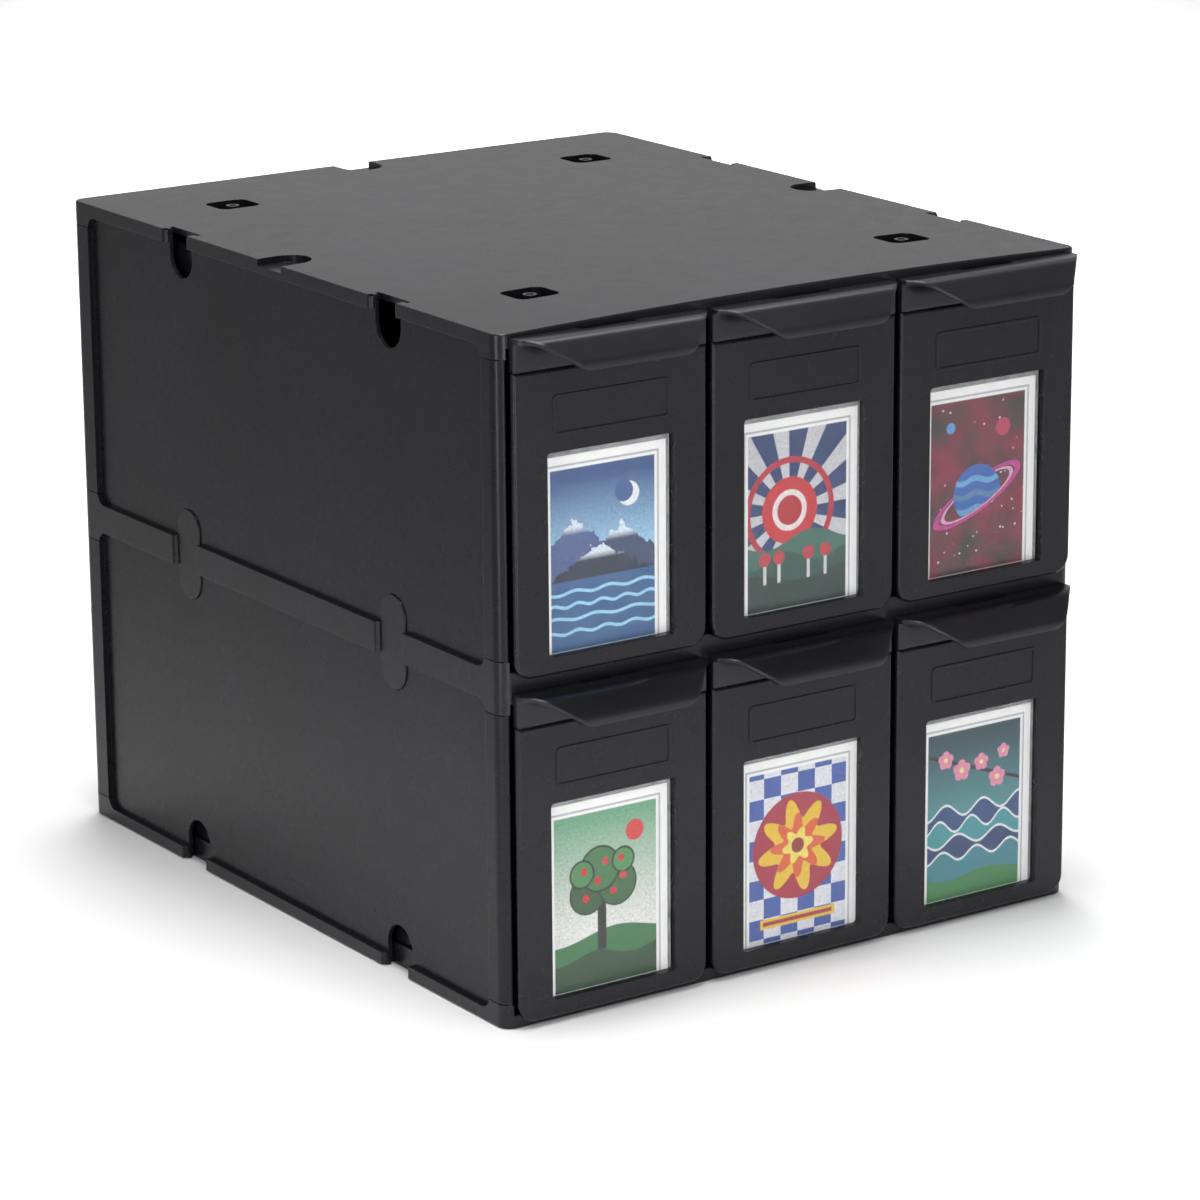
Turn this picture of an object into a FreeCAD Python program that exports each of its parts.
import FreeCAD, Part
import math
import os

# Trading card drawer box: a moulded cabinet of three columns and two tiers.
# Three flat plates carry two tiers of side panels, dividers and back panels,
# and six drawers slide out of the front. Each drawer is a deep tray with a
# hooded pull, a bezel with a window, and a display card behind the window.
#
# X runs to the right across the front, Y to the back, Z up, in millimetres.
# The origin is the middle of the cabinet's footprint, on the floor.

os.makedirs("parts", exist_ok=True)

# ---- driving dimensions: cabinet
width = 303.0
depth = 360.3
bay_height = 136.3
plate_edge = 5.9
middle_edge = 13.4
skin = 2.5
corner_radius = 6.0
edge_round = 0.8
crown_front = 2.4
crown_rear = 0.2
columns = (-1, 0, 1)
column_names = {-1: "left", 0: "centre", 1: "right"}
tier_names = ("lower", "upper")

# ---- driving dimensions: walls and joints between the pieces
recess = 2.6
wall_skin = 1.9
front_post = 12.4
rear_post = 15.2
recess_radius = 6.0
collar = 4.6
seam = 0.4
tongue = 3.0
back_recess = 2.0
back_skin = 2.2
divider = 2.4
guide = 1.5
guide_height = 4.0
front_rim = 3.0
slot_inset = 1.5
fit = 0.1

# ---- driving dimensions: connector clips and their notches
clip_width = 20.0
clip_height = 42.0
clip_proud = 0.7
clip_front_y = 87.0
clip_rear_y = 262.2
hook = 1.3
hook_catch = 1.6
hook_width = 9.0
bead_radius = 2.2

# ---- driving dimensions: top plate pockets and edge notches
pocket_x = 98.0
pocket_inset_y = 56.6
pocket_size_x = 21.0
pocket_size_y = 19.0
pocket_depth = 4.0
pocket_radius = 4.5
ring_radius = 3.1
ring_hole_radius = 1.7
ring_drop = 0.4
notch_radius = 10.0
notch_reach = 20.0
notch_depth = 3.0
ledge_skin = 1.2
ledge_margin = 2.0

# ---- driving dimensions: drawers
front_margin = 4.9
front_gap = 3.2
bezel_bottom = 3.1
bezel_drop = 10.0
bezel_face = 4.4
bezel_thickness = 2.3
bezel_corner = 8.0
bezel_round = 1.4
window_width = 63.4
window_drop = 45.0
window_bottom = 10.8
window_depth = 3.7
window_wall = 1.6
pocket_lip = 1.0
label_width = 58.0
label_height = 17.0
label_drop = 37.9
label_line = 1.2
label_raise = 0.5
peg_radius = 2.0
peg_inset = 4.6
peg_low = 18.0
peg_drop = 24.5

front_lap = 3.2
run_clear = 0.8
lift_clear = 0.4
tray_wall = 2.0
tray_floor = 2.2
tray_front = 2.5
tray_corner = 3.0
tray_rear_clear = 5.0
scoop_drop = 31.1
scoop_front = 22.0
scoop_rear = 92.0
scoop_run = 34.0
stop_length = 8.0
stop_catch = 1.5
stop_back = 62.0
stop_width = 10.0

card_width = 63.5
card_height = 88.9
card_thickness = 0.4
card_bottom = 5.2
card_play = 2.6
card_shifts = ((-2.0, 0.0, -1.4), (-2.1, -1.1, -2.2))

# ---- driving dimensions: hooded pull
pull_rise = 4.4
pull_drop = 7.6
pull_reach = 24.6
pull_flat = 12.2
pull_slope = 0.67
pull_brow = 10.0
pull_nose = 2.2
pull_wall = 2.0
pull_root_gap = 0.4
pull_side_gap = 0.4
pull_taper_start = 1.6
pull_shoulder = 4.0
pull_tip_half = 30.4
pull_tip_round = 7.0
pull_tip_rise = 0.2
pull_shelf_drop = 1.0
pull_slot_width = 28.0
pull_slot_depth = 3.0

# ---- worked out from the driving dimensions
half_width = width / 2.0
front_y = -depth / 2.0
rear_y = depth / 2.0
wall = recess + wall_skin
front_width = (width - 2.0 * front_margin - 2.0 * front_gap) / 3.0
pitch = front_width + front_gap
tray_half = front_width / 2.0 - front_lap
floor_z = (plate_edge, plate_edge + bay_height + middle_edge)
middle_low = plate_edge + bay_height
middle_high = middle_low + middle_edge
ceiling_z = (middle_low, middle_high + bay_height)
top_low = ceiling_z[1]
top_high = top_low + plate_edge
middle_web_low = (middle_low + middle_high - skin) / 2.0
middle_web_high = middle_web_low + skin
clip_ys = (front_y + clip_front_y, front_y + clip_rear_y)
inner_x = half_width - wall
shoe_half = pitch / 2.0 - tray_half - run_clear
side_rail_x = pitch + tray_half + run_clear
rail_front = front_y + front_rim
rail_rear = rear_y - back_recess - back_skin - 2.0 * fit
bezel_front_y = front_y - bezel_face
bezel_rear_y = bezel_front_y + bezel_thickness
window_rear_y = bezel_front_y + window_depth
card_front_y = window_rear_y + fit
card_rear_y = card_front_y + card_thickness
tray_front_y = card_rear_y + fit
tray_inner_y = tray_front_y + tray_front
tray_rear_y = rail_rear - tray_rear_clear
window_top = ceiling_z[0] - window_drop
bezel_top = ceiling_z[0] - bezel_drop
label_bottom = ceiling_z[0] - label_drop
pull_top = ceiling_z[0] + pull_rise
pull_low = ceiling_z[0] - pull_drop
pull_root_rear = front_y - pull_root_gap
pull_root_front = bezel_front_y
pull_tip_y = front_y - pull_reach
pull_half = front_width / 2.0 - pull_side_gap
pull_taper_y = pull_root_front - pull_taper_start


def block(x0, x1, y0, y1, z0, z1):
    """A box between two opposite corners."""
    corner = FreeCAD.Vector(min(x0, x1), min(y0, y1), min(z0, z1))
    return Part.makeBox(abs(x1 - x0), abs(y1 - y0), abs(z1 - z0), corner)


def edges_along(shape, axis, keep=lambda middle: True):
    """The straight edges that run along one axis and pass a test."""
    found = []
    for edge in shape.Edges:
        ends = [vertex.Point for vertex in edge.Vertexes]
        if len(ends) == 2:
            run = ends[1] - ends[0]
            if abs(abs(run.dot(axis)) - run.Length) < 1e-6 and run.Length > 1e-6:
                if keep((ends[0] + ends[1]) * 0.5):
                    found.append(edge)
    return found


AXIS_X = FreeCAD.Vector(1, 0, 0)
AXIS_Y = FreeCAD.Vector(0, 1, 0)
AXIS_Z = FreeCAD.Vector(0, 0, 1)


def soft_block(x0, x1, y0, y1, z0, z1, axis, radius):
    """A box whose four edges along one axis are rounded."""
    shape = block(x0, x1, y0, y1, z0, z1)
    return shape.makeFillet(radius, edges_along(shape, axis))


def fuse(shapes):
    """One solid from shapes that meet."""
    joined = shapes[0]
    if len(shapes) > 1:
        joined = shapes[0].multiFuse(list(shapes[1:]))
    return joined.removeSplitter()


def cut(shape, tools):
    """A shape less every tool."""
    return shape.cut(Part.makeCompound(list(tools)))


def mirror_x(shape):
    """The same shape on the other side of the cabinet."""
    return shape.mirror(FreeCAD.Vector(0, 0, 0), AXIS_X)


def polygon_prism(points, direction):
    """A closed outline of points, pushed along a direction."""
    return Part.Face(Part.makePolygon(points + [points[0]])).extrude(direction)


def cabinet_outline(z0, z1):
    """The plan outline of the cabinet, with rounded corners."""
    return soft_block(-half_width, half_width, front_y, rear_y, z0, z1, AXIS_Z, corner_radius)


def side_recess(tier, side):
    """The shallow field sunk into a cabinet side, as a cutting tool."""
    outer = side * (half_width + 1.0)
    inner = side * (half_width - recess)
    y0 = front_y + front_post
    y1 = rear_y - rear_post
    return soft_block(inner, outer, y0, y1, floor_z[tier], ceiling_z[tier], AXIS_X, recess_radius)


def clip_pill(side, y, z, margin, x_out, x_in):
    """The upright stadium shape of a connector clip, grown by a margin."""
    half = clip_width / 2.0 + margin
    high = clip_height / 2.0 + margin
    return soft_block(side * x_in, side * x_out, y - half, y + half,
                      z - high, z + high, AXIS_X, half - 0.01)


def corner_collars(tier, rising):
    """Blocks at the four corners of a plate that meet the ends of the posts."""
    z0 = floor_z[tier] - 1.0 if rising else ceiling_z[tier] - collar
    z1 = floor_z[tier] + collar if rising else ceiling_z[tier] + 1.0
    pieces = []
    for side in (-1, 1):
        outer = side * half_width
        layer = side * (half_width - recess)
        inner = side * inner_x
        front_end = front_y + front_post
        rear_end = rear_y - rear_post
        pieces.append(block(inner, outer, front_y, front_end, z0, z1))
        pieces.append(block(layer, outer, front_end, front_end + recess_radius, z0, z1))
        pieces.append(block(inner, outer, rear_end, rear_y, z0, z1))
        pieces.append(block(layer, outer, rear_end - recess_radius, rear_end, z0, z1))
    trimmed = [piece.common(cabinet_outline(z0, z1)) for piece in pieces]
    return [cut(piece, [side_recess(tier, -1), side_recess(tier, 1)]) for piece in trimmed]


def rim(z0, z1):
    """The skirt round a plate, thick at the sides and back to hold the grooves."""
    side_inner = inner_x - guide
    rear_inner = rear_y - back_recess - back_skin - guide
    hollow = block(-side_inner, side_inner, rail_front, rear_inner, z0 - 1.0, z1 + 1.0)
    return cabinet_outline(z0, z1).cut(hollow)


def panel_grooves(z0, z1):
    """The grooves that take the tongues of side panels and back panel."""
    side_groove_out = half_width - recess + fit
    side_groove_in = inner_x - fit
    y0 = front_y + front_post - fit
    y1 = rear_y - rear_post + fit
    back_out = rear_y - back_recess + fit
    back_in = rear_y - back_recess - back_skin - fit
    grooves = [block(side * side_groove_in, side * side_groove_out, y0, y1, z0, z1)
               for side in (-1, 1)]
    grooves.append(block(-inner_x + fit, inner_x - fit, back_in, back_out, z0, z1))
    return grooves


def divider_slots(z0, z1):
    """The slots that take the dividers' top or bottom edges."""
    half = divider / 2.0 + fit
    return [block(side * pitch / 2.0 - half, side * pitch / 2.0 + half,
                  rail_front + slot_inset, rail_rear + guide, z0, z1) for side in (-1, 1)]


def bed(tier, z0):
    """Runners and guide rails that rise from a plate's web under one tier of drawers."""
    top = floor_z[tier]
    pieces = []
    for column in columns:
        for side in (-1, 1):
            x = column * pitch + side * tray_half * 0.62
            pieces.append(block(x - guide, x + guide, rail_front - 1.0, rail_rear, z0, top))
    for side in (-1, 1):
        x = side * pitch / 2.0
        pieces.append(block(x - shoe_half, x + shoe_half, rail_front - 1.0, rail_rear + 1.0, z0, top))
        pieces.append(block(x - shoe_half, x + shoe_half, rail_front + front_post, rail_rear,
                            z0, top + guide_height))
        pieces.append(block(side * side_rail_x, side * (inner_x - fit), rail_front + front_post,
                            rail_rear, z0, top + guide_height))
    return pieces


def roof(tier, z1):
    """Ribs that hang from a plate's web over one tier of drawers."""
    low = ceiling_z[tier]
    pieces = []
    for column in columns:
        pieces.append(block(column * pitch - guide, column * pitch + guide,
                            rail_front - 1.0, rail_rear, low, z1))
    for side in (-1, 1):
        x = side * pitch / 2.0
        pieces.append(block(x - shoe_half, x + shoe_half, rail_front - 1.0, rail_rear + 1.0, low, z1))
    return pieces


def clip_notches(z, z0, z1):
    """Side notches where a connector clip bridges a plate and its panels."""
    tools = []
    for side in (-1, 1):
        for y in clip_ys:
            half = clip_width / 2.0 + fit
            tools.append(block(side * (half_width + 1.0), side * inner_x,
                               y - half, y + half, z0 - 1.0, z1 + 1.0))
            bead_y = y + half + bead_radius
            tools.append(block(side * (half_width + 1.0), side * (half_width - bead_radius),
                               y + half - 1.0, bead_y, z0 - 1.0, z1 + 1.0))
            tools.append(clip_pill(side, y, z, hook_catch + 1.0, inner_x + 0.5, inner_x - hook - 0.5))
    return tools


def clip_beads(z0, z1):
    """A rounded upright bead at the rear end of every side notch, clear of the panel groove."""
    beads = []
    for side in (-1, 1):
        for y in clip_ys:
            bead_y = y + clip_width / 2.0 + fit + bead_radius
            centre = FreeCAD.Vector(side * (half_width - bead_radius), bead_y, z0)
            bead = Part.makeCylinder(bead_radius, z1 - z0, centre, AXIS_Z)
            outer_half = block(side * (half_width + 1.0), side * (half_width - recess + fit),
                               bead_y - bead_radius, bead_y + bead_radius, z0, z1)
            beads.append(bead.common(outer_half))
    return beads


def crown_rise(x, y):
    """How far the top surface rises above its side edges at one place."""
    rise = crown_front + (crown_rear - crown_front) * (y - front_y) / depth
    return rise * (1.0 - (x / half_width) ** 2)


def top_pockets():
    """Rounded pockets in the top plate, each with a ring boss and its hole."""
    tubs = []
    hollows = []
    rings = []
    holes = []
    wall_out = tray_wall
    for side in (-1, 1):
        for y in (front_y + pocket_inset_y, rear_y - pocket_inset_y):
            x = side * pocket_x
            x0 = x - pocket_size_x / 2.0
            x1 = x + pocket_size_x / 2.0
            y0 = y - pocket_size_y / 2.0
            y1 = y + pocket_size_y / 2.0
            tubs.append(soft_block(x0 - wall_out, x1 + wall_out, y0 - wall_out, y1 + wall_out,
                                   top_low, top_high, AXIS_Z, pocket_radius + wall_out))
            hollows.append(soft_block(x0, x1, y0, y1, top_high - pocket_depth,
                                      top_high + crown_front + 1.0, AXIS_Z, pocket_radius))
            base = FreeCAD.Vector(x, y, top_high - pocket_depth - 0.5)
            ring_height = pocket_depth + 0.5 + crown_rise(x, y) - ring_drop
            rings.append(Part.makeCylinder(ring_radius, ring_height, base, AXIS_Z))
            holes.append(Part.makeCylinder(ring_hole_radius, plate_edge + 2.0,
                                           FreeCAD.Vector(x, y, top_low - 1.0), AXIS_Z))
    return tubs, hollows, rings, holes


def edge_notch(z_floor, z_open, margin):
    """A D-shaped plan outline that opens through the left edge."""
    radius = notch_radius + margin
    straight = notch_reach - notch_radius
    x0 = -half_width - 1.0
    x1 = -half_width + straight
    plain = block(x0, x1, -radius, radius, z_floor, z_open)
    nose = Part.makeCylinder(radius, z_open - z_floor, FreeCAD.Vector(x1, 0, z_floor), AXIS_Z)
    return plain.fuse(nose).removeSplitter()


def edge_notches(z_floor, z_open, margin):
    """The D-shaped notches in the middle of the left, right and rear edges."""
    left = edge_notch(z_floor, z_open, margin)
    rear = left.copy()
    rear.translate(FreeCAD.Vector(half_width, 0, 0))
    rear.rotate(FreeCAD.Vector(0, 0, 0), AXIS_Z, -90)
    rear.translate(FreeCAD.Vector(0, rear_y, 0))
    return [left, mirror_x(left), rear]


def crown_section(y, rise):
    """The upright section below the top surface at one depth, arched by a rise."""
    reach = half_width + 1.0
    low = top_low - collar - 1.0
    edge_z = top_high - 2.0 * rise / half_width
    left = FreeCAD.Vector(-reach, y, edge_z)
    right = FreeCAD.Vector(reach, y, edge_z)
    arch = Part.Arc(left, FreeCAD.Vector(0, y, top_high + rise), right).toShape()
    foot = Part.makePolygon([right, FreeCAD.Vector(reach, y, low), FreeCAD.Vector(-reach, y, low), left])
    return Part.Wire([arch] + foot.Edges)


def crowned_top():
    """The space below the top plate's surface, arched at the front and nearly flat behind."""
    slope = (crown_front - crown_rear) / depth
    front = crown_section(front_y - 1.0, crown_front + slope)
    rear = crown_section(rear_y + 1.0, crown_rear - slope)
    return Part.makeLoft([front, rear], True, True)


def bottom_plate():
    """The floor plate: a thin web with a rim, runners and rails above it."""
    base = cabinet_outline(0.0, plate_edge)
    base = base.makeFillet(edge_round, [edge for edge in base.Edges
                                        if edge.BoundBox.ZMax < 1e-6])
    side_inner = inner_x - guide
    rear_inner = rear_y - back_recess - back_skin - guide
    hollow = block(-side_inner, side_inner, rail_front, rear_inner, skin, plate_edge + 1.0)
    body = fuse([base.cut(hollow)] + bed(0, skin / 2.0) + corner_collars(0, True))
    body = cut(body, panel_grooves(plate_edge - tongue - fit, plate_edge + collar + 1.0)
               + divider_slots(plate_edge - tongue - fit, plate_edge + guide_height + 1.0)
               + clip_notches(0.0, 0.0, plate_edge))
    return fuse([body] + clip_beads(edge_round, plate_edge))


def middle_plate():
    """The plate between the tiers: a web halfway up, worked on both faces."""
    web = cabinet_outline(middle_web_low, middle_web_high)
    low_side = corner_collars(0, False) + roof(0, middle_web_low + skin / 2.0)
    high_side = corner_collars(1, True) + bed(1, middle_web_high - skin / 2.0)
    body = fuse([rim(middle_low, middle_high), web] + low_side + high_side)
    tools = panel_grooves(middle_low - collar - 1.0, middle_low + tongue + fit)
    tools += panel_grooves(middle_high - tongue - fit, middle_high + collar + 1.0)
    tools += divider_slots(middle_low - 1.0, middle_low + tongue + fit)
    tools += divider_slots(middle_high - tongue - fit, middle_high + guide_height + 1.0)
    tools += clip_notches((middle_low + middle_high) / 2.0, middle_low, middle_high)
    return fuse([cut(body, tools)] + clip_beads(middle_low, middle_high))


def on_outline(edge):
    """Whether an edge lies on the plan outline of the cabinet."""
    middle = edge.CenterOfMass
    return abs(middle.x) > half_width - corner_radius or abs(middle.y) > rear_y - corner_radius


def top_plate():
    """The top plate: an arched surface with pockets and edge notches."""
    block_shape = cabinet_outline(top_low, top_high + crown_front)
    side_inner = inner_x - guide
    rear_inner = rear_y - back_recess - back_skin - guide
    hollow = block(-side_inner, side_inner, rail_front, rear_inner, top_low - 1.0, top_high - skin)
    tubs, hollows, rings, holes = top_pockets()
    ledges = [shape.common(cabinet_outline(top_low, top_high))
              for shape in edge_notches(top_high - notch_depth - ledge_skin, top_high, ledge_margin)]
    body = fuse([block_shape.cut(hollow)] + tubs + ledges + roof(1, top_high - skin / 2.0)
                + corner_collars(1, False))
    body = body.common(crowned_top())
    outline = [edge for edge in body.Edges if edge.BoundBox.ZMin > top_high - 1.0
               and edge.CenterOfMass.z < top_high + crown_front and on_outline(edge)]
    body = body.makeFillet(edge_round, outline)
    body = cut(body, panel_grooves(top_low - collar - 1.0, top_low + tongue - fit)
               + divider_slots(top_low - 1.0, top_low + tongue - fit)
               + clip_notches(top_high, top_low, top_high + crown_front)
               + hollows
               + edge_notches(top_high - notch_depth + fit, top_high + crown_front + 1.0, 0.0))
    body = fuse([body] + rings + clip_beads(top_low, top_high - edge_round))
    return cut(body, holes)


def side_panel(tier, side):
    """A side panel: two posts at its ends and a thin field sunk between them."""
    low = floor_z[tier]
    high = ceiling_z[tier]
    outer = side * half_width
    layer = side * (half_width - recess)
    inner = side * inner_x
    frame = block(outer, layer, front_y, rear_y, low + collar + seam, high - collar - seam)
    frame = frame.cut(side_recess(tier, side))
    lining = block(layer, inner, front_y, rear_y, low + collar, high - collar)
    field = block(layer, inner, front_y + front_post, rear_y - rear_post,
                  low - tongue + fit, high + tongue - 2.0 * fit)
    panel = fuse([frame, lining, field])
    panel = panel.common(cabinet_outline(low - tongue - 1.0, high + tongue + 1.0))
    inner_edges = edges_along(panel, AXIS_Z, lambda middle: abs(middle.y - front_y) < corner_radius
                              and abs(abs(middle.x) - inner_x) < 1e-6)
    panel = panel.makeFillet(edge_round, inner_edges)
    levels = ((0.0, (middle_low + middle_high) / 2.0), ((middle_low + middle_high) / 2.0, top_high))
    notches = [clip_pill(side, y, z, fit, half_width + 1.0, inner_x - 1.0)
               for y in clip_ys for z in levels[tier]]
    return cut(panel, notches)


def back_panel(tier):
    """A back panel with upright channels that hold the dividers' rear edges."""
    low = floor_z[tier]
    high = ceiling_z[tier]
    y1 = rear_y - back_recess
    y0 = y1 - back_skin
    reach = inner_x - 2.0 * fit
    panel = [block(-reach, reach, y0, y1, low - tongue + fit, high + tongue - 2.0 * fit)]
    cheek = divider / 2.0 + fit
    for side in (-1, 1):
        x = side * pitch / 2.0
        for edge in (-1, 1):
            near = x + edge * cheek
            panel.append(block(near, near + edge * guide, y0 - guide, y0,
                               low + guide_height + fit, high - fit))
    return fuse(panel)


def bay_divider(tier, side):
    """The upright wall between two columns of drawers."""
    low = floor_z[tier] - tongue + fit
    high = ceiling_z[tier] + tongue - 2.0 * fit
    x = side * pitch / 2.0
    y1 = rear_y - back_recess - back_skin - fit
    wall_shape = block(x - divider / 2.0, x + divider / 2.0, rail_front + slot_inset + fit, y1, low, high)
    nose = edges_along(wall_shape, AXIS_Z, lambda middle: middle.y < 0)
    return wall_shape.makeFillet(divider * 0.4, nose)


def connector_clip(side, y):
    """A stadium-shaped clip, a little proud of the sunk field, with a hook at each end."""
    z = (middle_low + middle_high) / 2.0
    face_x = side * (half_width - recess + clip_proud)
    body = clip_pill(side, y, z, -fit, abs(face_x), inner_x + fit)
    face_edges = [edge for edge in body.Edges
                  if abs(edge.BoundBox.XMin - face_x) < 1e-6 and abs(edge.BoundBox.XMax - face_x) < 1e-6]
    body = body.makeFillet(edge_round / 2.0, face_edges)
    hooks = []
    for end in (-1, 1):
        tip = z + end * (clip_height / 2.0 + hook_catch)
        root = z + end * (clip_height / 2.0 - 4.0 * hook_catch)
        hooks.append(block(side * (inner_x - fit), side * (inner_x - hook),
                           y - hook_width / 2.0, y + hook_width / 2.0, root, tip))
        neck = z + end * (clip_height / 2.0 - 2.0 * hook_catch)
        hooks.append(block(side * (inner_x + 1.0), side * (inner_x - hook),
                           y - hook_width / 2.0, y + hook_width / 2.0, root, neck))
    return fuse([body] + hooks)


def pull_outline(z0, z1):
    """The plan outline of the hooded pull: full width at the root, tapered to the tip."""
    points = [FreeCAD.Vector(-pull_half, pull_root_rear, z0), FreeCAD.Vector(-pull_half, pull_taper_y, z0),
              FreeCAD.Vector(-pull_tip_half, pull_tip_y, z0),
              FreeCAD.Vector(pull_tip_half, pull_tip_y, z0),
              FreeCAD.Vector(pull_half, pull_taper_y, z0), FreeCAD.Vector(pull_half, pull_root_rear, z0)]
    prism = polygon_prism(points, FreeCAD.Vector(0, 0, z1 - z0))
    shoulders = edges_along(prism, AXIS_Z, lambda middle: abs(middle.y - pull_taper_y) < 1e-6)
    return prism.makeFillet(pull_shoulder, shoulders)


def pull_mass(inset, low, top, root_y):
    """The hooded pull as a solid: flat top, sloped brow and upright lip, drawn in by an inset."""
    slant = math.sqrt(1.0 + pull_slope * pull_slope)
    brow_y = front_y - pull_flat - inset * (slant - 1.0) / pull_slope
    tip_y = pull_tip_y + inset
    brow_z = top - inset
    nose_z = brow_z - (brow_y - tip_y) * pull_slope
    points = [FreeCAD.Vector(-half_width, root_y, low), FreeCAD.Vector(-half_width, root_y, brow_z),
              FreeCAD.Vector(-half_width, brow_y, brow_z), FreeCAD.Vector(-half_width, tip_y, nose_z),
              FreeCAD.Vector(-half_width, tip_y, low)]
    mass = polygon_prism(points, FreeCAD.Vector(width, 0, 0))
    brow = edges_along(mass, AXIS_X, lambda middle: abs(middle.y - brow_y) < 0.01)
    mass = mass.makeFillet(pull_brow - inset, brow)
    nose = edges_along(mass, AXIS_X, lambda middle: abs(middle.y - tip_y) < 0.01 and middle.z > low + 0.01)
    return mass.makeFillet(max(pull_nose - inset, 0.2), nose)


def lip_corner(side, low):
    """The rounding of the lip's lower corner, swept back along the taper until it runs out."""
    taper = (pull_half - pull_tip_half) / (pull_taper_y - pull_tip_y)
    step = FreeCAD.Vector(side * taper, 1.0, pull_tip_rise)
    middle = FreeCAD.Vector(side * (pull_tip_half - pull_tip_round), pull_tip_y, low + pull_tip_round) - step
    reach = FreeCAD.Vector(side * half_width, 0, 0)
    drop = FreeCAD.Vector(0, 0, -2.0 * pull_tip_round)
    corners = [middle, middle + reach, middle + reach + drop, middle + drop, middle]
    drum = Part.Face(Part.Wire(Part.makeCircle(pull_tip_round, middle, AXIS_Y)))
    profile = Part.Face(Part.makePolygon(corners)).cut(drum)
    return profile.extrude(step * (pull_reach - pull_flat + 1.0))


def pull_shell(z_lift):
    """The hooded pull: a bent sheet with a tapered outline, carried by a cored root wall."""
    top = pull_top + z_lift
    low = pull_low + z_lift
    foot = bezel_top + z_lift + seam
    outer = pull_mass(0.0, low, top, pull_root_rear)
    apron = block(-half_width, half_width, pull_root_front, pull_root_rear, foot, low + pull_wall)
    finger_space = pull_mass(pull_wall, low - 1.0, top, pull_root_front)
    below = block(-half_width, half_width, pull_tip_y + pull_wall, pull_root_front, foot - 1.0, low + 1.0)
    core_half = pull_half - pull_wall
    core = block(-core_half, core_half, pull_root_front + pull_wall, pull_root_rear + 1.0,
                 foot - 1.0, top - pull_wall)
    shell = cut(fuse([outer, apron]), [finger_space, below, core])
    shell = shell.common(pull_outline(foot - 1.0, top + 1.0))
    return cut(shell, [lip_corner(-1, low), lip_corner(1, low)])


def tray_side_profile(low, high):
    """The side wall's outline: high at both ends with a long scoop between."""
    scoop = high - scoop_drop
    y0 = tray_front_y + scoop_front
    y1 = y0 + scoop_run
    y3 = tray_rear_y - scoop_rear
    y2 = y3 - scoop_run
    front_low = FreeCAD.Vector(0, tray_front_y, low)
    front_high = FreeCAD.Vector(0, tray_front_y, high)
    rear_low = FreeCAD.Vector(0, tray_rear_y, low)
    rear_high = FreeCAD.Vector(0, tray_rear_y, high)
    down = Part.BezierCurve()
    down.setPoles([FreeCAD.Vector(0, y0, high), FreeCAD.Vector(0, (y0 + y1) / 2.0, high),
                   FreeCAD.Vector(0, (y0 + y1) / 2.0, scoop), FreeCAD.Vector(0, y1, scoop)])
    up = Part.BezierCurve()
    up.setPoles([FreeCAD.Vector(0, y2, scoop), FreeCAD.Vector(0, (y2 + y3) / 2.0, scoop),
                 FreeCAD.Vector(0, (y2 + y3) / 2.0, high), FreeCAD.Vector(0, y3, high)])
    edges = [Part.makeLine(front_low, front_high),
             Part.makeLine(front_high, FreeCAD.Vector(0, y0, high)), down.toShape(),
             Part.makeLine(FreeCAD.Vector(0, y1, scoop), FreeCAD.Vector(0, y2, scoop)), up.toShape(),
             Part.makeLine(FreeCAD.Vector(0, y3, high), rear_high),
             Part.makeLine(rear_high, rear_low), Part.makeLine(rear_low, front_low)]
    return Part.Face(Part.Wire(edges))


def drawer_tray(column, tier):
    """A deep open tray with its front wall, stops and hooded pull."""
    lift = floor_z[tier] - floor_z[0]
    low = floor_z[tier] + lift_clear
    high = ceiling_z[tier] - pull_shelf_drop
    profile = tray_side_profile(low, high)
    profile.translate(FreeCAD.Vector(-tray_half, 0, 0))
    mass = profile.extrude(FreeCAD.Vector(2.0 * tray_half, 0, 0))
    plan = soft_block(-tray_half, tray_half, tray_front_y, tray_rear_y, low, high, AXIS_Z, tray_corner)
    hollow = soft_block(-tray_half + tray_wall, tray_half - tray_wall, tray_inner_y,
                        tray_rear_y - tray_wall, low + tray_floor, high + 1.0,
                        AXIS_Z, tray_corner - tray_wall / 2.0)
    shell = mass.common(plan).cut(hollow)
    pieces = [shell, pull_shell(lift)]
    half = tray_half - 2.0 * fit
    pieces.append(block(-half, half, pull_root_front + fit, tray_inner_y, high - pull_wall, high))
    for side in (-1, 1):
        wall_out = side * tray_half
        stop_in = side * (tray_half - stop_width)
        stop_y = tray_rear_y - stop_back
        pieces.append(block(wall_out, stop_in, stop_y, stop_y + stop_length,
                            high - 2.0 * tray_wall, high))
        pieces.append(block(wall_out, stop_in, stop_y, stop_y + stop_length,
                            high - 1.0, ceiling_z[tier] + stop_catch))
    tray = fuse(pieces)
    tools = [block(-pull_slot_width / 2.0, pull_slot_width / 2.0, pull_root_rear - pull_slot_depth,
                   front_y, pull_top + lift - pull_wall - 1.0, pull_top + lift + 1.0)]
    for x, z in peg_places():
        tools.append(Part.makeCylinder(peg_radius + fit, tray_front + 4.0,
                                       FreeCAD.Vector(x, tray_front_y - 2.0, z + lift), AXIS_Y))
    tray = cut(tray, tools)
    tray.translate(FreeCAD.Vector(column * pitch, 0, 0))
    return tray


def peg_places():
    """Where the bezel's four pegs enter the tray's front wall."""
    reach = tray_half - peg_inset
    return [(side * reach, z) for side in (-1, 1) for z in (peg_low, ceiling_z[0] - peg_drop)]


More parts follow.
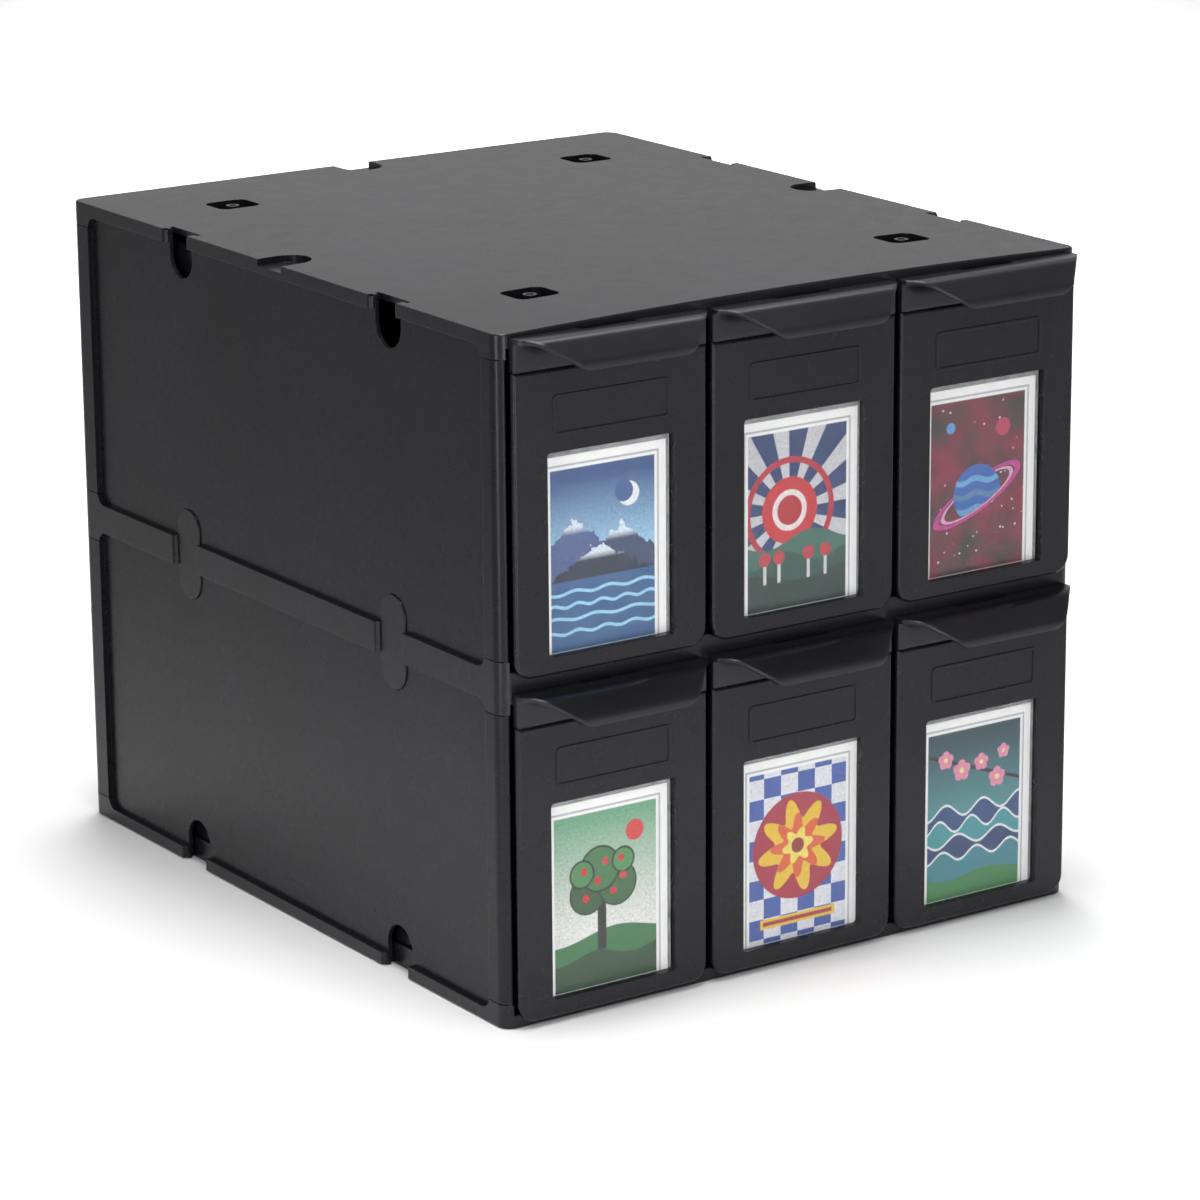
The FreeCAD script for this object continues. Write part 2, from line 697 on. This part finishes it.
def drawer_bezel(column, tier):
    """The overlay front: a rounded plate with a deep window, a blank label frame and a card pocket."""
    lift = floor_z[tier] - floor_z[0]
    half = front_width / 2.0
    low = bezel_bottom + lift
    high = bezel_top + lift
    plate = block(-half, half, bezel_front_y, bezel_rear_y, low, high)
    plate = plate.makeFillet(bezel_corner, edges_along(plate, AXIS_Y, lambda middle: middle.z < low + 1))
    plate = plate.makeFillet(bezel_round, [edge for edge in plate.Edges
                                           if edge.BoundBox.YMax < bezel_front_y + 1e-6])
    window_half = window_width / 2.0
    z0 = window_bottom + lift
    z1 = window_top + lift
    sleeve = soft_block(-window_half - window_wall, window_half + window_wall,
                        bezel_rear_y - 0.5, window_rear_y, z0 - window_wall, z1 + window_wall,
                        AXIS_Y, window_wall)
    label_half = label_width / 2.0
    label_low = label_bottom + lift
    label = soft_block(-label_half, label_half, bezel_front_y - label_raise, bezel_front_y + 0.5,
                       label_low, label_low + label_height, AXIS_Y, 2.0 * label_line)
    inside = soft_block(-label_half + label_line, label_half - label_line,
                        bezel_front_y - label_raise - 1.0, bezel_front_y,
                        label_low + label_line, label_low + label_height - label_line,
                        AXIS_Y, label_line)
    pegs = []
    for x, z in peg_places():
        peg = Part.makeCylinder(peg_radius, tray_inner_y - bezel_rear_y + 1.0,
                                FreeCAD.Vector(x, bezel_rear_y - 0.5, z + lift), AXIS_Y)
        pegs.append(peg)
    pocket_half = card_width / 2.0 + card_play
    pocket_low = card_bottom - fit + lift
    pocket = [block(-pocket_half, pocket_half, bezel_rear_y - 0.5, card_rear_y,
                    pocket_low - pocket_lip, pocket_low)]
    for side in (-1, 1):
        pocket.append(block(side * pocket_half, side * (pocket_half + pocket_lip),
                            bezel_rear_y - 0.5, card_rear_y, pocket_low - pocket_lip, z1 + window_wall))
    bezel = fuse([plate, sleeve, label.cut(inside)] + pegs + pocket)
    opening = soft_block(-window_half, window_half, bezel_front_y - 1.0, window_rear_y + 1.0,
                         z0, z1, AXIS_Y, window_wall)
    bezel = bezel.cut(opening)
    bezel.translate(FreeCAD.Vector(column * pitch, 0, 0))
    return bezel


def display_card(column, tier):
    """The card shown in the window, standing on the bezel's lip, a little off the middle."""
    lift = floor_z[tier] - floor_z[0]
    middle_x = column * pitch + card_shifts[tier][columns.index(column)]
    return block(middle_x - card_width / 2.0, middle_x + card_width / 2.0, card_front_y, card_rear_y,
                 card_bottom + lift, card_bottom + card_height + lift)


def all_parts():
    """Every piece of the cabinet, by name."""
    parts = {"bottom_plate": bottom_plate(), "middle_plate": middle_plate(), "top_plate": top_plate()}
    sides = {-1: "left", 1: "right"}
    for tier, tier_name in enumerate(tier_names):
        parts["back_panel_" + tier_name] = back_panel(tier)
        for side, side_name in sides.items():
            parts["side_panel_%s_%s" % (tier_name, side_name)] = side_panel(tier, side)
            parts["divider_%s_%s" % (tier_name, side_name)] = bay_divider(tier, side)
        for column in columns:
            place = "%s_%s" % (tier_name, column_names[column])
            parts["tray_" + place] = drawer_tray(column, tier)
            parts["bezel_" + place] = drawer_bezel(column, tier)
            parts["card_" + place] = display_card(column, tier)
    for side, side_name in sides.items():
        for y, end_name in zip(clip_ys, ("front", "rear")):
            parts["clip_%s_%s" % (side_name, end_name)] = connector_clip(side, y)
    return parts


for name, shape in all_parts().items():
    shape.exportStep("parts/%s.step" % name)
